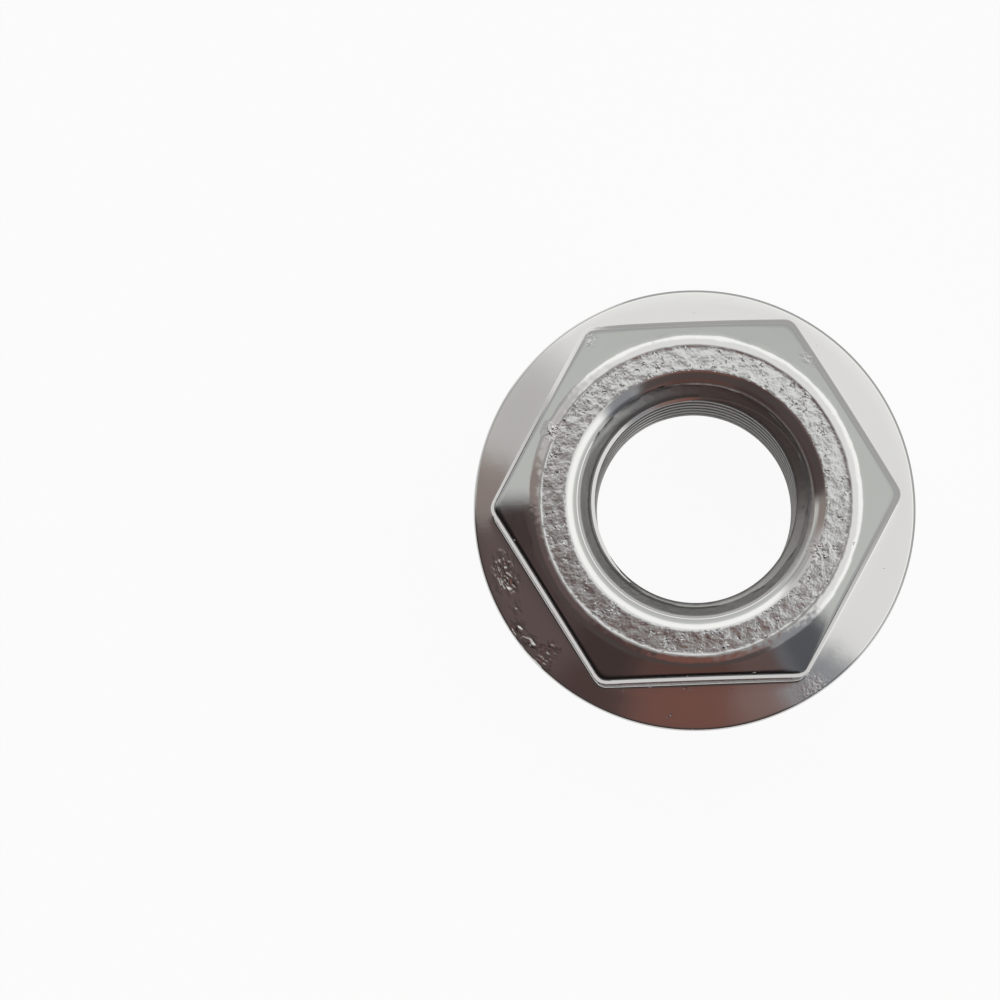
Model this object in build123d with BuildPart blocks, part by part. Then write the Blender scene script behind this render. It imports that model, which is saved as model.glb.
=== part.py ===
"""Serrated hexagon flange nut, M10 coarse thread, 15 mm across flats.

The nut is one piece of stainless steel: cold forged with its flange, faced and
countersunk on top, serrated on the bearing face and tapped right through.

Frame: millimetres, the origin on the bearing plane at the centre of the bore,
+Z up the bore, two corners of the hexagon on the X axis.
"""

import os
from math import asin, cos, degrees, radians, tan

from build123d import *

# Hexagon: cold forged, so its corners are not filled out to a sharp edge. Each ends
# in a narrow land, which is a little hollow between the flange and the chamfer
across_flats = 15.0
nut_height = 9.6
corner_unfilled = 0.25
corner_waist_depth = 0.16
corner_waist_foot = 3.45
corner_waist_top = 8.25
hexagon_edge_break = 0.12

# Top face: a faced ring, a rolled edge round it, then the corner chamfer
face_ring_diameter = 13.2
face_edge_roll = 1.0
chamfer_angle = 33.0

# Flange: a shallow cone from the flats, a rolled edge and a barrel rim
flange_diameter = 19.46
flange_height_at_flats = 3.0
flange_slope = 15.0
flange_edge_roll = 0.7
rim_barrel_radius = 3.5
rim_foot_height = 0.5
bearing_diameter = 16.9
root_fillet = 0.7

# Bore: the thread's minor diameter, with a countersink at each end
thread_minor_diameter = 8.6
top_countersink_diameter = 11.06
bottom_countersink_diameter = 10.8
countersink_angle = 120.0

# Serrations: ratchet teeth. Each rises on a ramp to a narrow land, then ends at a
# steep face that looks the way the nut turns when it is undone
tooth_count = 24
tooth_depth_at_rim = 0.45
tooth_land_angle = 1.5

corner_reach = across_flats / 2 / cos(radians(30))
flange_radius = flange_diameter / 2
clear_radius = flange_radius + 1.0

# Flange heights: its cone's peak on the axis and foot at the rim, then the rim's
# widest point, where the rolled edge ends and the barrel starts
cone_drop = tan(radians(flange_slope))
cone_peak = flange_height_at_flats + across_flats / 2 * cone_drop
cone_foot = cone_peak - flange_radius * cone_drop
rim_widest_height = cone_foot - flange_edge_roll * tan(radians(45 - flange_slope / 2))
barrel_angle = degrees(asin((rim_widest_height - rim_foot_height) / rim_barrel_radius))

# One gap between two teeth: a pyramid with its tip on the axis of the bore, so
# that the gap narrows and grows shallow towards the bore
tooth_pitch = 360 / tooth_count
gap_start = clear_radius * tan(radians(tooth_land_angle))
gap_end = clear_radius * tan(radians(tooth_pitch))
steep_face_reach = clear_radius / cos(radians(tooth_land_angle))
gap_depth = tooth_depth_at_rim * steep_face_reach / flange_radius

with BuildPart() as tooth_gap:
    with BuildSketch(Plane.YZ.offset(clear_radius)) as gap_section:
        with BuildLine():
            Polyline(
                (gap_start, gap_depth),
                (gap_end, 0),
                (gap_end, -gap_depth),
                (gap_start, -gap_depth),
                close=True,
            )
        make_face()
    loft(sections=[Vertex(0, 0, 0), gap_section.sketch.face()], ruled=True)

with BuildPart() as flange_nut:
    # Hexagon with its narrow corner lands; it grows out of the flange
    with BuildSketch(Plane.XY.offset(rim_widest_height)) as hexagon:
        RegularPolygon(radius=across_flats / 2, side_count=6, major_radius=False)
        chamfer(hexagon.vertices(), length=corner_unfilled)
    extrude(amount=nut_height - rim_widest_height)

    # The top is turned: everything outside the face, its rolled edge and the
    # chamfer cone goes. Turned sections lie in the plane through the middle of a flat
    chamfer_slope = tan(radians(chamfer_angle))
    roll_length = face_edge_roll * tan(radians(chamfer_angle / 2))
    chamfer_start = face_ring_diameter / 2 + roll_length
    chamfer_foot = nut_height - (clear_radius - chamfer_start) * chamfer_slope
    with BuildSketch(Plane.YZ):
        with BuildLine():
            FilletPolyline(
                (0, nut_height),
                (chamfer_start, nut_height),
                (clear_radius, chamfer_foot),
                radius=face_edge_roll,
            )
            Polyline((clear_radius, chamfer_foot), (clear_radius, 0), (0, 0), (0, nut_height))
        make_face()
    revolve(axis=Axis.Z, mode=Mode.INTERSECT)

    # The sharp edge where the chamfer runs out on the flats is broken
    chamfer_face = flange_nut.faces().filter_by(GeomType.CONE).sort_by(Axis.Z)[-1]
    chamfer_edges = chamfer_face.edges().filter_by(GeomType.HYPERBOLA)
    chamfer(chamfer_edges, length=hexagon_edge_break)

    # Flange, turned as one disc through the hexagon's foot
    with BuildSketch(Plane.YZ):
        with BuildLine():
            roll = CenterArc(
                center=(flange_radius - flange_edge_roll, rim_widest_height),
                radius=flange_edge_roll,
                start_angle=0,
                arc_size=90 - flange_slope,
            )
            barrel = JernArc(
                start=roll @ 0,
                tangent=(0, -1),
                radius=rim_barrel_radius,
                arc_size=-barrel_angle,
            )
            Polyline(barrel @ 1, (bearing_diameter / 2, 0), (0, 0), (0, cone_peak), roll @ 1)
        make_face()
    revolve(axis=Axis.Z)

    # Fillet between the flats and the flange, all the way round
    flange_top = flange_nut.faces().filter_by(GeomType.CONE).sort_by(Axis.Z)[1]
    root_edges = flange_top.edges().filter_by(
        lambda edge: edge.geom_type not in (GeomType.CIRCLE, GeomType.LINE)
    )
    fillet(root_edges, radius=root_fillet)

    # The waist of the corner lands, between the flange and the chamfer
    with BuildSketch(Plane.YZ):
        with BuildLine():
            waist = SagittaArc(
                (corner_reach, corner_waist_foot),
                (corner_reach, corner_waist_top),
                corner_waist_depth,
            )
            Line(waist @ 1, waist @ 0)
        make_face()
    revolve(axis=Axis.Z, mode=Mode.SUBTRACT)

    # Bore, countersunk from above and from below
    with Locations((0, 0, nut_height)):
        CounterSinkHole(
            radius=thread_minor_diameter / 2,
            counter_sink_radius=top_countersink_diameter / 2,
            counter_sink_angle=countersink_angle,
        )
    with Locations(Location((0, 0, 0), (180, 0, 0))):
        CounterSinkHole(
            radius=thread_minor_diameter / 2,
            counter_sink_radius=bottom_countersink_diameter / 2,
            counter_sink_angle=countersink_angle,
        )

    # Serrations on the bearing face
    with PolarLocations(0, tooth_count):
        add(tooth_gap.part, mode=Mode.SUBTRACT)

flange_nut.part.label = "flange_nut"

os.makedirs("parts", exist_ok=True)
export_step(flange_nut.part, "parts/flange_nut.step")
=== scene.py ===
"""A serrated flange nut in bright stainless steel, standing on its teeth."""

import math

import bpy
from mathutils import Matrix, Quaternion, Vector


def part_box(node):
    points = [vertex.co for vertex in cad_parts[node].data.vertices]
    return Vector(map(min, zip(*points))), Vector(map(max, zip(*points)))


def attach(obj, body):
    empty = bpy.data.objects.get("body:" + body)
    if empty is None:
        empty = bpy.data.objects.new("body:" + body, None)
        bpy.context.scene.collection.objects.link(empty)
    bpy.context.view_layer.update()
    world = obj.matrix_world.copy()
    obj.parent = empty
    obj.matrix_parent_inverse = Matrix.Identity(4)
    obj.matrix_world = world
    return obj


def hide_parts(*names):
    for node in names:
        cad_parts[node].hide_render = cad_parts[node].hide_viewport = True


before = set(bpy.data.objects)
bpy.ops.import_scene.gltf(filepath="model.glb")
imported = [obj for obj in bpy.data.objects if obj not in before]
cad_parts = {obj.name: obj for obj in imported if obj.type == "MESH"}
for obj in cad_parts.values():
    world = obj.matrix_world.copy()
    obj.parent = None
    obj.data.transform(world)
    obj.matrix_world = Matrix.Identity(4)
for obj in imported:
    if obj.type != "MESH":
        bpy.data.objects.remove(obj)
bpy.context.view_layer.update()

# ---------------------------------------------------------------------------
# Flange nut
# One piece of stainless steel, M10: cold forged with its flange, tumbled bright,
# then faced round the bore, countersunk and tapped. Its section is the same all
# round but for the hexagon, the thread and the teeth.
# ---------------------------------------------------------------------------

MM = 0.001
cad_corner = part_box("flange_nut")[1]

# Millimetres and degrees, as they go into the node tree
nut_sizes = {
    "Height": cad_corner.z / MM,
    "Flange Radius": cad_corner.x / MM,
    "Across Flats": 15.35,
    "Corner Radius": 0.6,
    "Hexagon Offset": 0.04,
    "Waist Depth": 0.16,
    "Waist Foot": 3.45,
    "Waist Top": 8.25,
    "Edge Radius": 0.65,
    "Chamfer Angle": 33.0,
    "Roll Radius": 1.0,
    "Roll Drop": 0.05,
    "Face Radius": 6.6,
    "Face Recess": 0.06,
    "Mouth Radius": 5.53,
    "Lip Start": 19.0,
    "Lip Slope": 38.0,
    "Lead Radius": 5.03,
    "Lower Mouth Radius": 5.4,
    "Countersink Slope": 30.0,
    "Thread Minor Radius": 4.3,
    "Thread Major Radius": 5.03,
    "Thread Pitch": 1.5,
    "Thread Start": -30.0,
    "Flange Height At Flats": 3.0,
    "Flange Slope": 15.0,
    "Flange Roll": 0.2,
    "Barrel Radius": 3.5,
    "Rim Foot": 0.5,
    "Bearing Radius": 8.45,
    "Root Radius": 0.22,
    "Tooth Count": 24.0,
    "Tooth Depth": 0.45,
    "Tooth Land": 1.5,
    "Tooth Draft": 0.25,
}


class Field:
    """A number that a node tree works out at every point, written as arithmetic."""

    def __init__(self, tree, socket):
        self.tree = tree
        self.socket = socket

    def math(self, operation, *terms):
        return arithmetic(self.tree, operation, self, *terms)

    def __add__(self, term):
        return self.math("ADD", term)

    def __radd__(self, term):
        return self.math("ADD", term)

    def __sub__(self, term):
        return self.math("SUBTRACT", term)

    def __rsub__(self, term):
        return arithmetic(self.tree, "SUBTRACT", term, self)

    def __mul__(self, term):
        return self.math("MULTIPLY", term)

    def __rmul__(self, term):
        return self.math("MULTIPLY", term)

    def __truediv__(self, term):
        return self.math("DIVIDE", term)

    def __rtruediv__(self, term):
        return arithmetic(self.tree, "DIVIDE", term, self)

    def __neg__(self):
        return self.math("MULTIPLY", -1.0)

    def ramp(self, start, end, low=0.0, high=1.0, smooth=False):
        """From low to high as this number goes from start to end, and no further."""
        node = self.tree.nodes.new("ShaderNodeMapRange")
        node.interpolation_type = "SMOOTHSTEP" if smooth else "LINEAR"
        for socket, term in zip(node.inputs, (self, start, end, low, high)):
            feed(self.tree, term, socket)
        return Field(self.tree, node.outputs[0])


def feed(tree, term, socket):
    """Links a field to a socket, or sets the socket to a plain number."""
    if isinstance(term, Field):
        tree.links.new(term.socket, socket)
    else:
        socket.default_value = term


def arithmetic(tree, operation, *terms):
    """One Math node, fed with fields or plain numbers."""
    node = tree.nodes.new("ShaderNodeMath")
    node.operation = operation
    for socket, term in zip(node.inputs, terms):
        feed(tree, term, socket)
    return Field(tree, node.outputs[0])


def separate(tree, vector):
    """The three numbers of a vector socket."""
    node = tree.nodes.new("ShaderNodeSeparateXYZ")
    tree.links.new(vector, node.inputs[0])
    return [Field(tree, socket) for socket in node.outputs]


def combine(tree, *terms):
    """A vector socket made of three numbers."""
    node = tree.nodes.new("ShaderNodeCombineXYZ")
    for socket, term in zip(node.inputs, terms):
        feed(tree, term, socket)
    return node.outputs[0]


def noise(tree, vector, scale, detail=2.0, roughness=0.5):
    """Fractal noise about zero, from about -0.5 to 0.5."""
    node = tree.nodes.new("ShaderNodeTexNoise")
    tree.links.new(vector, node.inputs["Vector"])
    feed(tree, scale, node.inputs["Scale"])
    node.inputs["Detail"].default_value = detail
    node.inputs["Roughness"].default_value = roughness
    return Field(tree, node.outputs[0]) - 0.5


# Marks that every finish of the nut has in its own measure: ripple from tumbling,
# fine scratches and small dents or bumps, as one height in millimetres

marks = bpy.data.node_groups.new("tumbling_marks", "ShaderNodeTree")
for name, value in (
    ("Ripple Size", 1.5),
    ("Ripple Height", 0.004),
    ("Grain Size", 0.12),
    ("Grain Height", 0.0006),
    ("Dent Spacing", 0.9),
    ("Dent Reach", 0.16),
    ("Dent Depth", 0.012),
    ("Dent Share", 0.25),
    ("Raised Share", 0.0),
):
    entry = marks.interface.new_socket(name=name, in_out="INPUT", socket_type="NodeSocketFloat")
    entry.default_value = value
marks.interface.new_socket(name="Height", in_out="OUTPUT", socket_type="NodeSocketFloat")
marks_in = marks.nodes.new("NodeGroupInput")
mark = {socket.name: Field(marks, socket) for socket in marks_in.outputs if socket.name}

millimetres = marks.nodes.new("ShaderNodeVectorMath")
millimetres.operation = "SCALE"
millimetres.inputs["Scale"].default_value = 1 / MM
object_place = marks.nodes.new("ShaderNodeTexCoord").outputs["Object"]
marks.links.new(object_place, millimetres.inputs[0])
spot = millimetres.outputs[0]

ripple = noise(marks, spot, 1 / mark["Ripple Size"], 2.0) * mark["Ripple Height"]
grain = noise(marks, spot, 1 / mark["Grain Size"], 3.0, 0.6) * mark["Grain Height"]

# Dents and bumps: one to a cell, of varied reach, in cells that are pushed out of line
wander = marks.nodes.new("ShaderNodeTexNoise")
marks.links.new(spot, wander.inputs["Vector"])
feed(marks, 2 / mark["Dent Spacing"], wander.inputs["Scale"])
wander_span = mark["Dent Spacing"] * 1.5
wandered = marks.nodes.new("ShaderNodeVectorMath")
wandered.operation = "MULTIPLY_ADD"
marks.links.new(wander.outputs["Color"], wandered.inputs[0])
marks.links.new(combine(marks, wander_span, wander_span, wander_span), wandered.inputs[1])
marks.links.new(spot, wandered.inputs[2])

cells = marks.nodes.new("ShaderNodeTexVoronoi")
marks.links.new(wandered.outputs[0], cells.inputs["Vector"])
feed(marks, 1 / mark["Dent Spacing"], cells.inputs["Scale"])
chance = separate(marks, cells.outputs["Color"])
reach = chance[1].ramp(0.0, 1.0, mark["Dent Reach"] * 0.3, mark["Dent Reach"])
hollow = Field(marks, cells.outputs["Distance"]) / reach
hollow = hollow.ramp(0.0, 1.0, 1.0, 0.0, smooth=True)
dents = hollow * chance[0].math("LESS_THAN", mark["Dent Share"])
raised = chance[2].math("LESS_THAN", mark["Raised Share"])
relief = dents * (raised * 2 - 1) * mark["Dent Depth"]

# Coordinates that run round the axis; a noise on them is drawn out to twice its length
spot_x, spot_y, spot_z = separate(marks, spot)
off_axis = (spot_x * spot_x + spot_y * spot_y).math("SQRT")
heading = spot_y.math("ARCTAN2", spot_x)
heading_scale = 4.5
round_axis = combine(marks, off_axis, heading * heading_scale, spot_z)


def wrinkles(coordinates, place, reach, wrinkle, height):
    """Wrinkles in the given coordinates, which fade out at a reach from one place."""
    gap = marks.nodes.new("ShaderNodeVectorMath")
    gap.operation = "DISTANCE"
    marks.links.new(spot, gap.inputs[0])
    gap.inputs[1].default_value = place
    near_place = Field(marks, gap.outputs["Value"]).ramp(0.0, reach, 1.0, 0.0, smooth=True)
    return noise(marks, coordinates, 1 / wrinkle, 2.0, 0.6) * near_place * height


# Wrinkles and streaks from forging on the flange, as a place, then reach, wrinkle and
# height, all in millimetres
for place, *measures in (
    ((-8.5, -2.1, 2.6), 0.8, 0.36, 0.22),
    ((-8.3, -2.9, 2.6), 0.8, 0.36, 0.24),
    ((-7.95, -4.0, 2.6), 0.5, 0.26, 0.1),
    ((-7.95, -4.95, 2.5), 0.6, 0.36, 0.22),
    ((-7.4, -5.65, 2.5), 0.65, 0.36, 0.24),
    ((-6.85, -6.35, 2.5), 0.65, 0.36, 0.22),
    ((-6.5, -5.85, 2.6), 0.55, 0.26, 0.16),
):
    relief = relief + wrinkles(round_axis, place, *measures)

# One patch of grain on the flange, then pits on the chamfer and chips on the face
for place, *measures in (
    ((4.92, -8.04, 2.5), 1.2, 0.13, 0.02),
    ((-4.28, 7.11, 8.7), 0.5, 0.18, 0.06),
    ((5.05, 5.9, 8.9), 0.6, 0.2, 0.05),
    ((-6.09, 3.21, 9.4), 0.6, 0.26, 0.11),
    ((5.02, -2.28, 9.5), 0.6, 0.2, 0.07),
):
    relief = relief + wrinkles(spot, place, *measures)

# The rolled edge round the faced ring is wavy
on_roll = off_axis.ramp(6.4, 6.6) * off_axis.ramp(7.25, 6.95) * spot_z.ramp(9.0, 9.2)
wave_height = 0.03
relief = relief + noise(marks, round_axis, 1.5, 2.0, 0.55) * on_roll * wave_height

# The corners of the hexagon are ragged where they stand between the dies
on_corner = off_axis.ramp(8.3, 8.5) * spot_z.ramp(3.3, 4.0) * spot_z.ramp(8.5, 8.0)
ragged_height = 0.12
relief = relief + noise(marks, spot, 1.6, 3.0, 0.6) * on_corner * ragged_height

marks_out = marks.nodes.new("NodeGroupOutput")
feed(marks, ripple + grain + relief, marks_out.inputs["Height"])


def steel(name, colour, roughness, **measures):
    """Bare stainless steel with the marks in the given measures."""
    material = bpy.data.materials.new(name)
    material.use_nodes = True
    tree = material.node_tree
    shader = tree.nodes["Principled BSDF"]
    shader.inputs["Metallic"].default_value = 1.0
    shader.inputs["Base Color"].default_value = (*colour, 1.0)
    shader.inputs["Roughness"].default_value = roughness
    group = tree.nodes.new("ShaderNodeGroup")
    group.node_tree = marks
    for key, value in measures.items():
        group.inputs[key.replace("_", " ").title()].default_value = value
    bump = tree.nodes.new("ShaderNodeBump")
    bump.inputs["Strength"].default_value = 1.0
    bump.inputs["Distance"].default_value = MM
    tree.links.new(group.outputs["Height"], bump.inputs["Height"])
    tree.links.new(bump.outputs["Normal"], shader.inputs["Normal"])
    return material


polished_steel = steel(
    "polished_steel",
    colour=(0.76, 0.75, 0.74),
    roughness=0.11,
    ripple_size=1.6,
    ripple_height=0.005,
)
faced_steel = steel(
    "faced_steel",
    colour=(0.735, 0.735, 0.73),
    roughness=0.17,
    ripple_size=0.46,
    ripple_height=0.038,
    grain_size=0.1,
    grain_height=0.006,
    dent_spacing=0.33,
    dent_reach=0.5,
    dent_depth=0.046,
    dent_share=0.9,
    raised_share=0.55,
)
# The tapped steel is rougher, and its colour is written darker than the polished steel's, as
# painted shade in the thread and its lead
tapped_steel_painted_shade = steel(
    "tapped_steel_painted_shade",
    colour=(0.5, 0.49, 0.48),
    roughness=0.36,
    ripple_size=0.5,
    ripple_height=0.02,
    grain_height=0.002,
)

# The shape, worked out by nodes: strips of a grid, each wrapped round the axis. x is
# the column round the nut, and y runs along the section from one edge to the other

nut_tree = bpy.data.node_groups.new("turned_nut", "GeometryNodeTree")
nut_tree.interface.new_socket(name="Nut", in_out="OUTPUT", socket_type="NodeSocketGeometry")
size_sockets = {}
for name, value in nut_sizes.items():
    entry = nut_tree.interface.new_socket(name=name, in_out="INPUT", socket_type="NodeSocketFloat")
    entry.default_value = value
    size_sockets[name] = entry.identifier
nut_in = nut_tree.nodes.new("NodeGroupInput")
size = {socket.name: Field(nut_tree, socket) for socket in nut_in.outputs if socket.name}

# Each tooth pitch has this many columns of the grid
STEPS = 20
grid_place = nut_tree.nodes.new("GeometryNodeInputPosition").outputs[0]
x, y, _ = separate(nut_tree, grid_place)
columns = size["Tooth Count"] * STEPS
column = (x + columns / 2).math("ROUND")
along = y + 0.5

# Columns crowd at the tooth's land and steep face, and at the hexagon's corners: from
# one column of the tooth to another, and the degrees between them
pitch = 360 / size["Tooth Count"]
step = column.math("FLOORED_MODULO", STEPS)
crowded = 0.9
in_tooth = sum(
    step.ramp(start, end, 0.0, span)
    for start, end, span in (
        (0, 4, crowded),
        (4, 5, size["Tooth Land"] - crowded),
        (5, 6, size["Tooth Draft"]),
        (6, 16, pitch - size["Tooth Land"] - size["Tooth Draft"] - crowded),
        (16, STEPS, crowded),
    )
)
angle = (column / STEPS).math("FLOOR") * pitch + in_tooth
turn = angle.math("RADIANS")
cosine = turn.math("COSINE")
sine = turn.math("SINE")


def tangent(degrees):
    """The slope of an angle in degrees."""
    return degrees.math("RADIANS").math("TANGENT")


# Ratchet teeth: how far the gap rises above the bearing plane at each radius
gap_ramp = size["Tooth Depth"] / size["Flange Radius"]
gap_ramp = gap_ramp / (pitch - size["Tooth Land"]).math("RADIANS").math("SINE")
gap_ramp = gap_ramp * (pitch - in_tooth).math("RADIANS").math("SINE")
land_spare = 0.01
gap_ramp = gap_ramp * in_tooth.math("GREATER_THAN", size["Tooth Land"] + land_spare)


def above_teeth(radius, height):
    """The height of a skin that the gaps between the teeth cut into."""
    return (radius * gap_ramp).math("MAXIMUM", height)


# Hexagon: the distance to its outline, rounded at the corners. It is forged a little
# off the axis that the flange and the face are turned about
HALF_SIDE = math.pi / 6
flat_reach = size["Across Flats"] / 2
off_centre = (size["Hexagon Offset"] * cosine / flat_reach).math("DEGREES")
from_corner = (angle - off_centre + 30).math("FLOORED_MODULO", 60.0) - 30
from_corner = from_corner.math("ABSOLUTE").math("RADIANS")
flat_line = flat_reach / (HALF_SIDE - from_corner).math("COSINE")
corner_radius = size["Corner Radius"]
corner_centre = (flat_reach - corner_radius) / math.cos(HALF_SIDE)
corner_side = corner_centre * from_corner.math("SINE")
corner_line = corner_centre * from_corner.math("COSINE") + (
    corner_radius * corner_radius - corner_side * corner_side
).math("MAXIMUM", 0.0).math("SQRT")
corner_end = (corner_radius * math.sin(HALF_SIDE)).math(
    "ARCTAN2", corner_centre + corner_radius * math.cos(HALF_SIDE)
)
in_corner = from_corner.math("LESS_THAN", corner_end)
hexagon = flat_line + in_corner * (corner_line - flat_line) + size["Hexagon Offset"] * sine


def waisted(height):
    """The hexagon's outline, held in at its corners between flange and chamfer."""
    spare = 0.05
    middle = (size["Waist Foot"] + size["Waist Top"]) / 2
    half = (size["Waist Top"] - size["Waist Foot"]) / 2
    off_middle = (height - middle) / half
    bow = (1 - off_middle * off_middle).math("MAXIMUM", 0.0)
    reach = flat_reach / math.cos(HALF_SIDE) + spare - (size["Waist Depth"] + spare) * bow
    return hexagon.math("SMOOTH_MIN", reach + size["Hexagon Offset"] * sine, spare)


# Slopes and heights that the strips share
slope = size["Flange Slope"].math("RADIANS")
cone_drop = slope.math("TANGENT")
cone_peak = size["Flange Height At Flats"] + flat_reach * cone_drop
cone_foot = cone_peak - size["Flange Radius"] * cone_drop
rim_height = cone_foot - size["Flange Roll"] * tangent(45 - size["Flange Slope"] / 2)
rim_roll_centre = size["Flange Radius"] - size["Flange Roll"]
barrel_centre = size["Flange Radius"] - size["Barrel Radius"]
barrel_end = ((rim_height - size["Rim Foot"]) / size["Barrel Radius"]).math("ARCSINE")

chamfer = size["Chamfer Angle"].math("RADIANS")
chamfer_drop = chamfer.math("TANGENT")
chamfer_start = size["Face Radius"] + size["Roll Radius"] * tangent(size["Chamfer Angle"] / 2)
edge_tangent = size["Edge Radius"] * tangent(45 - size["Chamfer Angle"] / 2)
roll_top = size["Height"] - size["Roll Drop"]
edge_height = roll_top - (hexagon - chamfer_start) * chamfer_drop - edge_tangent

root_centre = hexagon + size["Root Radius"]
root_height = cone_peak - root_centre * cone_drop + size["Root Radius"] / slope.math("COSINE")

lip_drop = 0.01
land_width = 0.08
sink_slope = tangent(size["Countersink Slope"])
lip_start = size["Lip Start"].math("RADIANS")
lip_slope = size["Lip Slope"].math("RADIANS")
lip_reach = (size["Mouth Radius"] - size["Lead Radius"]) / (
    lip_slope.math("SINE") - lip_start.math("SINE")
)
lip_top = size["Height"] - lip_drop
lip_middle = size["Mouth Radius"] + lip_reach * lip_start.math("SINE")
lip_base = lip_top - lip_reach * lip_start.math("COSINE")
lead_height = lip_base + lip_reach * lip_slope.math("COSINE")
land_radius = size["Lead Radius"] - land_width
upper_thread_end = lead_height - (land_radius - size["Thread Minor Radius"])
lower_thread_end = (size["Lower Mouth Radius"] - size["Thread Minor Radius"]) * sink_slope
thread_turn = (angle - size["Thread Start"]) / 360


def threaded(height):
    """The radius of the tapped bore at a height, with the groove's rounded root."""
    pass_share = ((upper_thread_end - height) / size["Thread Pitch"] + thread_turn).math("FRACT")
    off_groove = pass_share.math("MINIMUM", 1 - pass_share) * size["Thread Pitch"]
    flank_angle = math.radians(30)
    root_half_width = 0.094
    rounded = 0.06
    flank = 1 / math.tan(flank_angle)
    groove_depth = size["Thread Major Radius"] - size["Thread Minor Radius"]
    crest_start = groove_depth / flank + root_half_width
    groove = size["Thread Minor Radius"] + (crest_start - off_groove) * flank
    groove = groove.math("SMOOTH_MIN", size["Thread Major Radius"], rounded)
    return groove.math("SMOOTH_MAX", size["Thread Minor Radius"], rounded)


POLISHED = 0
FACED = 1
TAPPED = 2
strips = []


def strip(rows, radius, height, finish=POLISHED):
    """One band of the nut's skin, from its first edge to its last in even rows."""
    grid = nut_tree.nodes.new("GeometryNodeMeshGrid")
    feed(nut_tree, columns, grid.inputs["Size X"])
    feed(nut_tree, columns + 1, grid.inputs["Vertices X"])
    grid.inputs["Size Y"].default_value = 1.0
    grid.inputs["Vertices Y"].default_value = rows + 1
    wrap = nut_tree.nodes.new("GeometryNodeSetPosition")
    nut_tree.links.new(grid.outputs["Mesh"], wrap.inputs["Geometry"])
    nut_tree.links.new(
        combine(nut_tree, radius * cosine, radius * sine, height), wrap.inputs["Position"]
    )
    tag = nut_tree.nodes.new("GeometryNodeStoreNamedAttribute")
    tag.data_type = "INT"
    tag.domain = "FACE"
    tag.inputs["Name"].default_value = "finish"
    tag.inputs["Value"].default_value = finish
    nut_tree.links.new(wrap.outputs["Geometry"], tag.inputs["Geometry"])
    strips.append(tag.outputs["Geometry"])


def line(start, end):
    """From start to end along the strip."""
    return start + (end - start) * along


def arc(centre, reach, start, end):
    """Radius and height along an arc in the section; angles in radians from outward."""
    swing = line(start, end)
    across, up = centre
    return across + reach * swing.math("COSINE"), up + reach * swing.math("SINE")


# Underside, from the lower countersink out over the teeth to the rim's foot
sink_radius = line(size["Thread Minor Radius"], size["Lower Mouth Radius"])
sink_height = (size["Lower Mouth Radius"] - sink_radius) * sink_slope
sink_radius = sink_radius.math("MAXIMUM", threaded(sink_height))
strip(12, sink_radius, above_teeth(sink_radius, sink_height))
bearing = line(size["Lower Mouth Radius"], size["Bearing Radius"])
strip(2, bearing, above_teeth(bearing, 0.0))

# The foot, rounded into the barrel: a parabola between the two tangents
barrel_foot = size["Flange Radius"] - size["Barrel Radius"] * (1 - barrel_end.math("COSINE"))
foot_slope = size["Rim Foot"] / (barrel_foot - size["Bearing Radius"])
foot_rounding = 0.2
rounded_share = 0.14
round_start = barrel_foot - foot_rounding
foot = line(size["Bearing Radius"], round_start)
strip(6, foot, above_teeth(foot, (foot - size["Bearing Radius"]) * foot_slope))
round_end = barrel_end * (1 - rounded_share)
end_radius = barrel_centre + size["Barrel Radius"] * round_end.math("COSINE")
end_height = rim_height - size["Barrel Radius"] * round_end.math("SINE")
near = 1 - along


def parabola(start, middle, end):
    """From start to end along the strip, drawn towards the middle."""
    return near * near * start + 2 * near * along * middle + along * along * end


start_height = (round_start - size["Bearing Radius"]) * foot_slope
foot_radius = parabola(round_start, barrel_foot, end_radius)
foot_height = parabola(start_height, size["Rim Foot"], end_height)
strip(5, foot_radius, above_teeth(foot_radius, foot_height))
strip(5, *arc((barrel_centre, rim_height), size["Barrel Radius"], -round_end, 0.0))

# Flange: its rolled edge, its cone, and the fillet up to the hexagon
strip(11, *arc((rim_roll_centre, rim_height), size["Flange Roll"], 0.0, math.pi / 2 - slope))
cone = line(
    rim_roll_centre + size["Flange Roll"] * slope.math("SINE"),
    root_centre - size["Root Radius"] * slope.math("SINE"),
)
strip(3, cone, cone_peak - cone * cone_drop)
root_turn = (1.5 * math.pi - slope, math.pi)
strip(8, *arc((root_centre, root_height), size["Root Radius"], *root_turn))

# Hexagon: flats, the rounded edge, the chamfer and the roll up to the face
wall = line(root_height, edge_height)
strip(12, waisted(wall), wall)
edge_radius = waisted(edge_height)
edge_centre = (edge_radius - size["Edge Radius"], edge_height)
strip(6, *arc(edge_centre, size["Edge Radius"], 0.0, math.pi / 2 - chamfer))
chamfer_radius = line(
    edge_radius - size["Edge Radius"] * (1 - chamfer.math("SINE")),
    size["Face Radius"] + size["Roll Radius"] * chamfer.math("SINE"),
)
strip(7, chamfer_radius, roll_top - (chamfer_radius - chamfer_start) * chamfer_drop)
roll_centre = (size["Face Radius"], roll_top - size["Roll Radius"])
strip(8, *arc(roll_centre, size["Roll Radius"], math.pi / 2 - chamfer, math.pi / 2))

# Face: a ragged little step down from the roll, the turned ring, a little lower at
# its rim, and its inner lip
step_middle = 0.07
step_play = 0.2
circle = combine(nut_tree, cosine, sine, 0.0)
step_width = step_middle + noise(nut_tree, circle, 9.0, 3.0, 0.65) * step_play
face_start = size["Face Radius"] - step_width
face_low = size["Height"] - size["Face Recess"]
strip(3, size["Face Radius"] - step_width * along, line(roll_top, face_low), FACED)
strip(10, line(face_start, size["Mouth Radius"]), line(face_low, lip_top), FACED)

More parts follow.
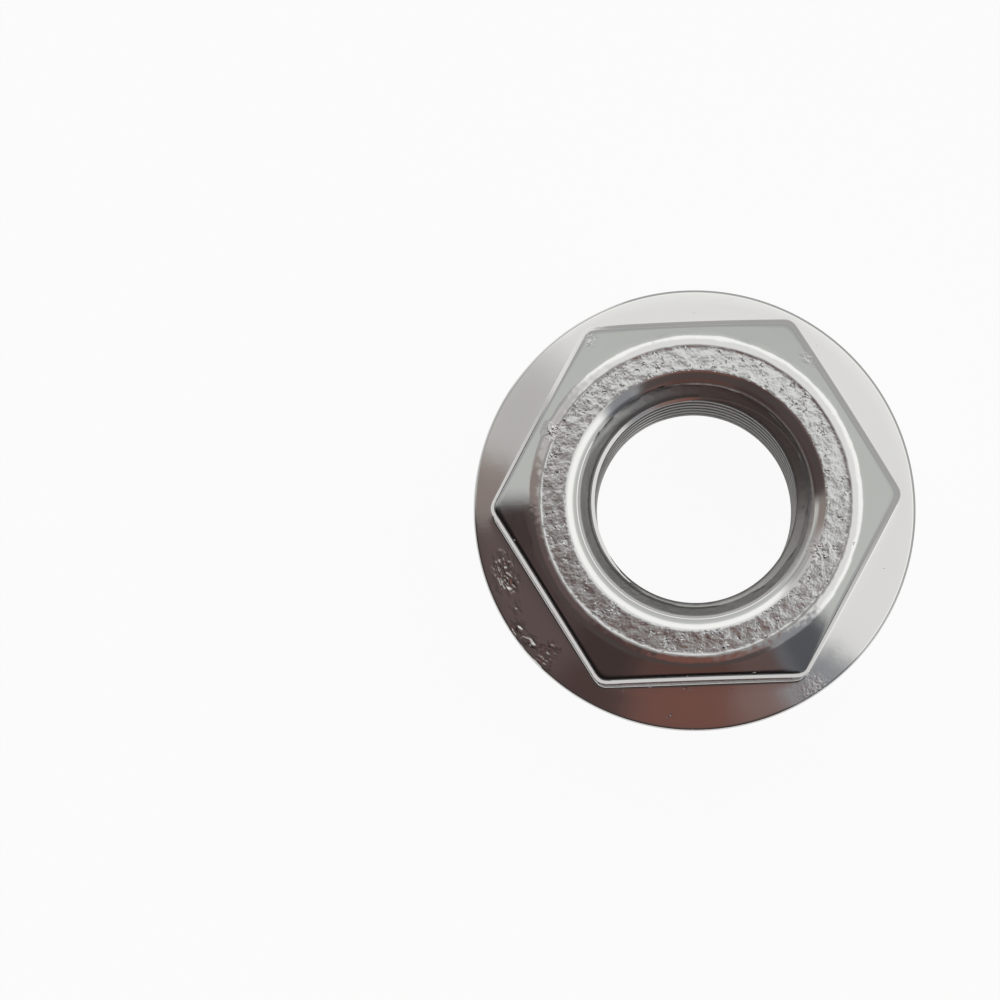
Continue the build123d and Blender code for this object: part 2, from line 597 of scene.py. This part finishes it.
# Bore: the rounded mouth, the thread's lead with a bright shelf at its foot, then the
# thread in helical rows down to the lower countersink
mouth_turn = (lip_start + math.pi / 2, lip_slope + math.pi / 2)
strip(8, *arc((lip_middle, lip_base), lip_reach, *mouth_turn))
land_drop = 0.01
knee_width = 0.25
shelf_width = 0.15
shelf_lift = 0.03
land_height = lead_height - land_drop
knee_radius = size["Thread Minor Radius"] + knee_width
knee_height = land_height - (land_radius - knee_radius)
shelf_radius = size["Thread Minor Radius"] + shelf_width
shelf_height = upper_thread_end + shelf_lift
for rows, radii, heights, finish in (
    (2, (size["Lead Radius"], land_radius), (lead_height, land_height), TAPPED),
    (6, (land_radius, knee_radius), (land_height, knee_height), TAPPED),
    (3, (knee_radius, shelf_radius), (knee_height, shelf_height), TAPPED),
    (3, (shelf_radius, size["Thread Minor Radius"]), (shelf_height, upper_thread_end), POLISHED),
):
    lead_line = line(*heights)
    strip(rows, line(*radii).math("MAXIMUM", threaded(lead_line)), lead_line, finish)

# The thread's passes, in rows that follow the helix: the share of a pass at each row
PASSES = 7
ROWS = 10
row = (along * (PASSES * ROWS)).math("ROUND")
in_pass = row.math("FLOORED_MODULO", ROWS)
shares = (0.0, 0.0625, 0.285, 0.33, 0.375, 0.5, 0.625, 0.67, 0.715, 0.9375, 1.0)
share = sum(
    in_pass.ramp(index, index + 1, 0.0, shares[index + 1] - shares[index])
    for index in range(ROWS)
)
passes = (row / ROWS).math("FLOOR") + share
helix = upper_thread_end - size["Thread Pitch"] * (passes - thread_turn)
helix = helix.math("MINIMUM", upper_thread_end).math("MAXIMUM", lower_thread_end)
strip(PASSES * ROWS, threaded(helix), helix, TAPPED)

# All strips welded into one closed skin, in metres
weld_reach = 0.002
crease_angle = math.radians(40)
joined = nut_tree.nodes.new("GeometryNodeJoinGeometry")
for band in reversed(strips):
    nut_tree.links.new(band, joined.inputs[0])
weld = nut_tree.nodes.new("GeometryNodeMergeByDistance")
weld.inputs["Distance"].default_value = weld_reach
metres = nut_tree.nodes.new("GeometryNodeTransform")
metres.inputs["Scale"].default_value = (MM, MM, MM)
smooth = nut_tree.nodes.new("GeometryNodeSetShadeSmooth")
crease = nut_tree.nodes.new("GeometryNodeSetShadeSmooth")
crease.domain = "EDGE"
crease.inputs["Shade Smooth"].default_value = False
fold = Field(nut_tree, nut_tree.nodes.new("GeometryNodeInputMeshEdgeAngle").outputs[0])
feed(nut_tree, fold.math("GREATER_THAN", crease_angle), crease.inputs["Selection"])
realize = nut_tree.nodes.new("GeometryNodeRealizeInstances")
chain = [joined, weld, metres, smooth, crease, realize]
tagged = nut_tree.nodes.new("GeometryNodeInputNamedAttribute")
tagged.data_type = "INT"
tagged.inputs["Name"].default_value = "finish"
for finish, material in enumerate((polished_steel, faced_steel, tapped_steel_painted_shade)):
    paint = nut_tree.nodes.new("GeometryNodeSetMaterial")
    paint.inputs["Material"].default_value = material
    chosen = Field(nut_tree, tagged.outputs[0]).math("COMPARE", finish, 0.5)
    feed(nut_tree, chosen, paint.inputs["Selection"])
    chain.append(paint)
chain.append(nut_tree.nodes.new("NodeGroupOutput"))
for before, after in zip(chain, chain[1:]):
    nut_tree.links.new(before.outputs[0], after.inputs[0])

maker = bpy.data.objects.new("nut_maker", bpy.data.meshes.new("nut_maker"))
bpy.context.scene.collection.objects.link(maker)
modifier = maker.modifiers.new("turned_nut", "NODES")
modifier.node_group = nut_tree
for name, identifier in size_sockets.items():
    modifier[identifier] = nut_sizes[name]
depsgraph = bpy.context.evaluated_depsgraph_get()
nut_mesh = bpy.data.meshes.new_from_object(
    maker.evaluated_get(depsgraph), preserve_all_data_layers=True, depsgraph=depsgraph
)
maker.modifiers.clear()
bpy.data.objects.remove(maker)
nut_mesh.name = "flange_nut_dressed"
nut = bpy.data.objects.new("flange_nut_dressed", nut_mesh)
bpy.context.scene.collection.objects.link(nut)
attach(nut, "root")
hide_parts("flange_nut")

# ---------------------------------------------------------------------------
# Floor
# A wide white sheet under the nut, which keeps a faint shadow. The camera sees it
# nearly white; for the steel its colour is painted dark, as painted shade, but for the
# part close to the nut and two bright stretches behind it, which glow as painted light.
# ---------------------------------------------------------------------------

floor_reach = 1.5
sheet_white = 0.85
painted_sheet_shade = 0.7
camera_glow = 0.94
mirrored_glow = 0.85
near_share = 0.75
back_share = 0.35
back_bearing = math.radians(60.0)
gate_bearing = math.radians(125.0)

floor_mesh = bpy.data.meshes.new("floor")
corners = [(east, north) for north in (-1, 1) for east in (-1, 1)]
floor_mesh.from_pydata(
    [(east * floor_reach, north * floor_reach, 0) for east, north in corners],
    [],
    [(0, 1, 3, 2)],
)
floor = bpy.data.objects.new("floor", floor_mesh)
bpy.context.scene.collection.objects.link(floor)

floor_material = bpy.data.materials.new("white_sheet")
floor_material.use_nodes = True
sheet_tree = floor_material.node_tree
sheet_shader = sheet_tree.nodes["Principled BSDF"]
sheet_shader.inputs["Roughness"].default_value = 0.9
sheet_shader.inputs["Specular IOR Level"].default_value = 0.0
sheet_glow = sheet_tree.nodes.new("ShaderNodeEmission")
sheet_rays = sheet_tree.nodes.new("ShaderNodeLightPath")
camera_ray = Field(sheet_tree, sheet_rays.outputs["Is Camera Ray"])
glossy_ray = Field(sheet_tree, sheet_rays.outputs["Is Glossy Ray"])
sheet_place = sheet_tree.nodes.new("ShaderNodeTexCoord").outputs["Object"]
sheet_x, sheet_y, _ = separate(sheet_tree, sheet_place)
off_nut = (sheet_x * sheet_x + sheet_y * sheet_y).math("SQRT") / MM
# Painted light for the steel: the sheet glows close to the nut, dimmer in a wide stretch behind it
# and fully in a narrow one
painted_near_glow = off_nut.ramp(60.0, 40.0, 0.0, near_share, smooth=True)
sheet_bearing = sheet_y.math("ARCTAN2", sheet_x)
off_back = (sheet_bearing - back_bearing).math("COSINE")
off_gate = (sheet_bearing - gate_bearing).math("COSINE")
painted_glow = painted_near_glow + off_back.ramp(-0.2, 0.4, smooth=True) * (back_share - painted_near_glow)
painted_glow = painted_glow.math("MAXIMUM", off_gate.ramp(0.91, 0.98, smooth=True))
# Painted shade for the steel: where the sheet does not glow, its colour is darkened for all but
# camera rays
painted_dimming = (1 - camera_ray) * (1 - painted_glow) * painted_sheet_shade
sheet_colour = combine(sheet_tree, *[sheet_white - painted_dimming] * 3)
sheet_tree.links.new(sheet_colour, sheet_shader.inputs["Base Color"])
sheet_share = camera_ray * camera_glow + glossy_ray * painted_glow * mirrored_glow
sheet_mix = sheet_tree.nodes.new("ShaderNodeMixShader")
feed(sheet_tree, sheet_share, sheet_mix.inputs[0])
sheet_tree.links.new(sheet_shader.outputs[0], sheet_mix.inputs[1])
sheet_tree.links.new(sheet_glow.outputs[0], sheet_mix.inputs[2])
sheet_tree.links.new(sheet_mix.outputs[0], sheet_tree.nodes["Material Output"].inputs["Surface"])
floor_mesh.materials.append(floor_material)

# ---------------------------------------------------------------------------
# Light
# A white room all round, with a grey patch overhead, a brown side at the front left
# where the room is open, and a cool strip beside it. The steel takes its tones from
# these.
# ---------------------------------------------------------------------------

world = bpy.data.worlds.new("white_room")
bpy.context.scene.world = world
world.use_nodes = True
room = world.node_tree
room.nodes.clear()
direction = room.nodes.new("ShaderNodeTexCoord").outputs["Generated"]
east, north, up = separate(room, direction)
bearing_angle = north.math("ARCTAN2", east)
tilt = up.math("ARCCOSINE").math("DEGREES")


def fade(start, end):
    """From 0 to 1 between two heights in the room, in degrees down from overhead."""
    return tilt.ramp(start, end, smooth=True)


def sector(centre, half_width, softness):
    """1 inside a sector of the horizon, 0 outside; degrees, from +X towards +Y."""
    off = (bearing_angle - math.radians(centre)).math("COSINE")
    outer = math.cos(math.radians(half_width + softness))
    inner = math.cos(math.radians(half_width - softness))
    return off.ramp(outer, inner, smooth=True)


def blend(share, first, second):
    """A colour of the room from first to second as share goes from 0 to 1."""
    node = room.nodes.new("ShaderNodeMix")
    node.data_type = "RGBA"
    feed(room, share, node.inputs["Factor"])
    for socket, colour in zip((node.inputs[6], node.inputs[7]), (first, second)):
        if isinstance(colour, tuple):
            socket.default_value = (*colour, 1.0)
        else:
            room.links.new(colour, socket)
    return node.outputs[2]


def painted(colour, coats):
    """A colour with others laid over it in turn, each with its share."""
    for share, coat in coats:
        colour = blend(share, colour, coat)
    return colour


# The grey patch leans a little towards the open side
lean = math.radians(5.0)
lean_bearing = math.radians(235.0)
leaning = east * math.cos(lean_bearing) + north * math.sin(lean_bearing)
off_overhead = (up * math.cos(lean) + leaning * math.sin(lean)).math("ARCCOSINE").math("DEGREES")
overhead = off_overhead.ramp(18.0, 9.0, smooth=True)

glare = fade(34.0, 46.0) * fade(62.0, 56.0)
wall = fade(56.0, 64.0)
skirting = fade(70.0, 76.0) * fade(90.0, 87.0)
shade = sector(148.0, 20.0, 10.0) * fade(54.0, 42.0)
corner = sector(147.0, 15.0, 7.0) * fade(42.0, 50.0) * fade(67.0, 62.0)
shoulder = sector(167.0, 7.0, 6.0) * fade(64.0, 56.0)
dome = painted((0.90, 0.905, 0.90), (
    (glare, (1.16, 1.17, 1.15)),
    (wall, (0.60, 0.62, 0.60)),
    (skirting, (0.42, 0.43, 0.43)),
    (overhead, (0.34, 0.335, 0.325)),
    (shade * 0.6, (0.36, 0.34, 0.33)),
    (corner * 0.75, (0.25, 0.24, 0.235)),
    (shoulder, (0.30, 0.25, 0.23)),
))

front = sector(237.0, 63.0, 4.0) * fade(2.0, 10.0)
warm = sector(268.0, 17.0, 13.0)
rosy = sector(291.0, 6.0, 7.0)
core = sector(236.0, 6.0, 10.0)
dusk = fade(33.0, 41.0) * fade(62.0, 56.0)
side = painted((0.13, 0.095, 0.092), (
    (warm, (0.20, 0.092, 0.075)),
    (rosy, (0.24, 0.155, 0.14)),
    (core, (0.085, 0.055, 0.052)),
    (fade(30.0, 44.0) * 0.5, (0.05, 0.036, 0.034)),
    (dusk * 0.8, (0.085, 0.07, 0.066)),
    (fade(66.0, 70.0), (0.012, 0.01, 0.01)),
))

cool = sector(308.0, 9.0, 5.0) * fade(8.0, 16.0)
cool_strip = blend(wall, (0.28, 0.29, 0.31), (0.1, 0.105, 0.12))
horizon = up.ramp(0.02, -0.02, smooth=True)
sky = painted(dome, (
    (front, side),
    (cool, cool_strip),
    (horizon, (0.8, 0.8, 0.8)),
))

seen = room.nodes.new("ShaderNodeLightPath")
lit = room.nodes.new("ShaderNodeBackground")
room.links.new(sky, lit.inputs["Color"])
white = room.nodes.new("ShaderNodeBackground")
white.inputs["Color"].default_value = (1.0, 1.0, 1.0, 1.0)
both = room.nodes.new("ShaderNodeMixShader")
room.links.new(seen.outputs["Is Camera Ray"], both.inputs[0])
room.links.new(lit.outputs[0], both.inputs[1])
room.links.new(white.outputs[0], both.inputs[2])
world_out = room.nodes.new("ShaderNodeOutputWorld")
room.links.new(both.outputs[0], world_out.inputs["Surface"])

# ---------------------------------------------------------------------------
# Camera
# It stands 200 mm off, nearly straight above the nut, and looks past it, so that the
# nut comes right of the middle of the frame. Focal length and target are in pixels
# of a frame 1000 wide.
# ---------------------------------------------------------------------------

camera_distance = 0.2
camera_elevation = 86.59
camera_azimuth = 10.4
camera_roll = 8.3
focal_pixels = 4597.0
frame_pixels = 1000
target_pixel = (694.8, 506.5)
target = Vector((0.0, 0.0, 0.005))
clip_start = 0.005

elevation = math.radians(camera_elevation)
azimuth = math.radians(camera_azimuth)
sight = Vector((
    -math.sin(azimuth) * math.cos(elevation),
    -math.cos(azimuth) * math.cos(elevation),
    math.sin(elevation),
))
camera_data = bpy.data.cameras.new("camera")
camera_data.lens_unit = "FOV"
camera_data.sensor_fit = "AUTO"
camera_data.angle = 2 * math.atan(frame_pixels / 2 / focal_pixels)
camera_data.clip_start = clip_start
camera = bpy.data.objects.new("camera", camera_data)
bpy.context.scene.collection.objects.link(camera)
pan, pitch_down = (math.atan((pixel - frame_pixels / 2) / focal_pixels) for pixel in target_pixel)
aim = (-sight).to_track_quat("-Z", "Y")
aim = aim @ Quaternion((0, 0, 1), math.radians(camera_roll))
aim = aim @ Quaternion((0, 1, 0), pan)
aim = aim @ Quaternion((1, 0, 0), pitch_down)
camera.rotation_mode = "QUATERNION"
camera.rotation_quaternion = aim
camera.location = target + sight * camera_distance
bpy.context.scene.camera = camera

bpy.context.scene.view_settings.view_transform = "Standard"
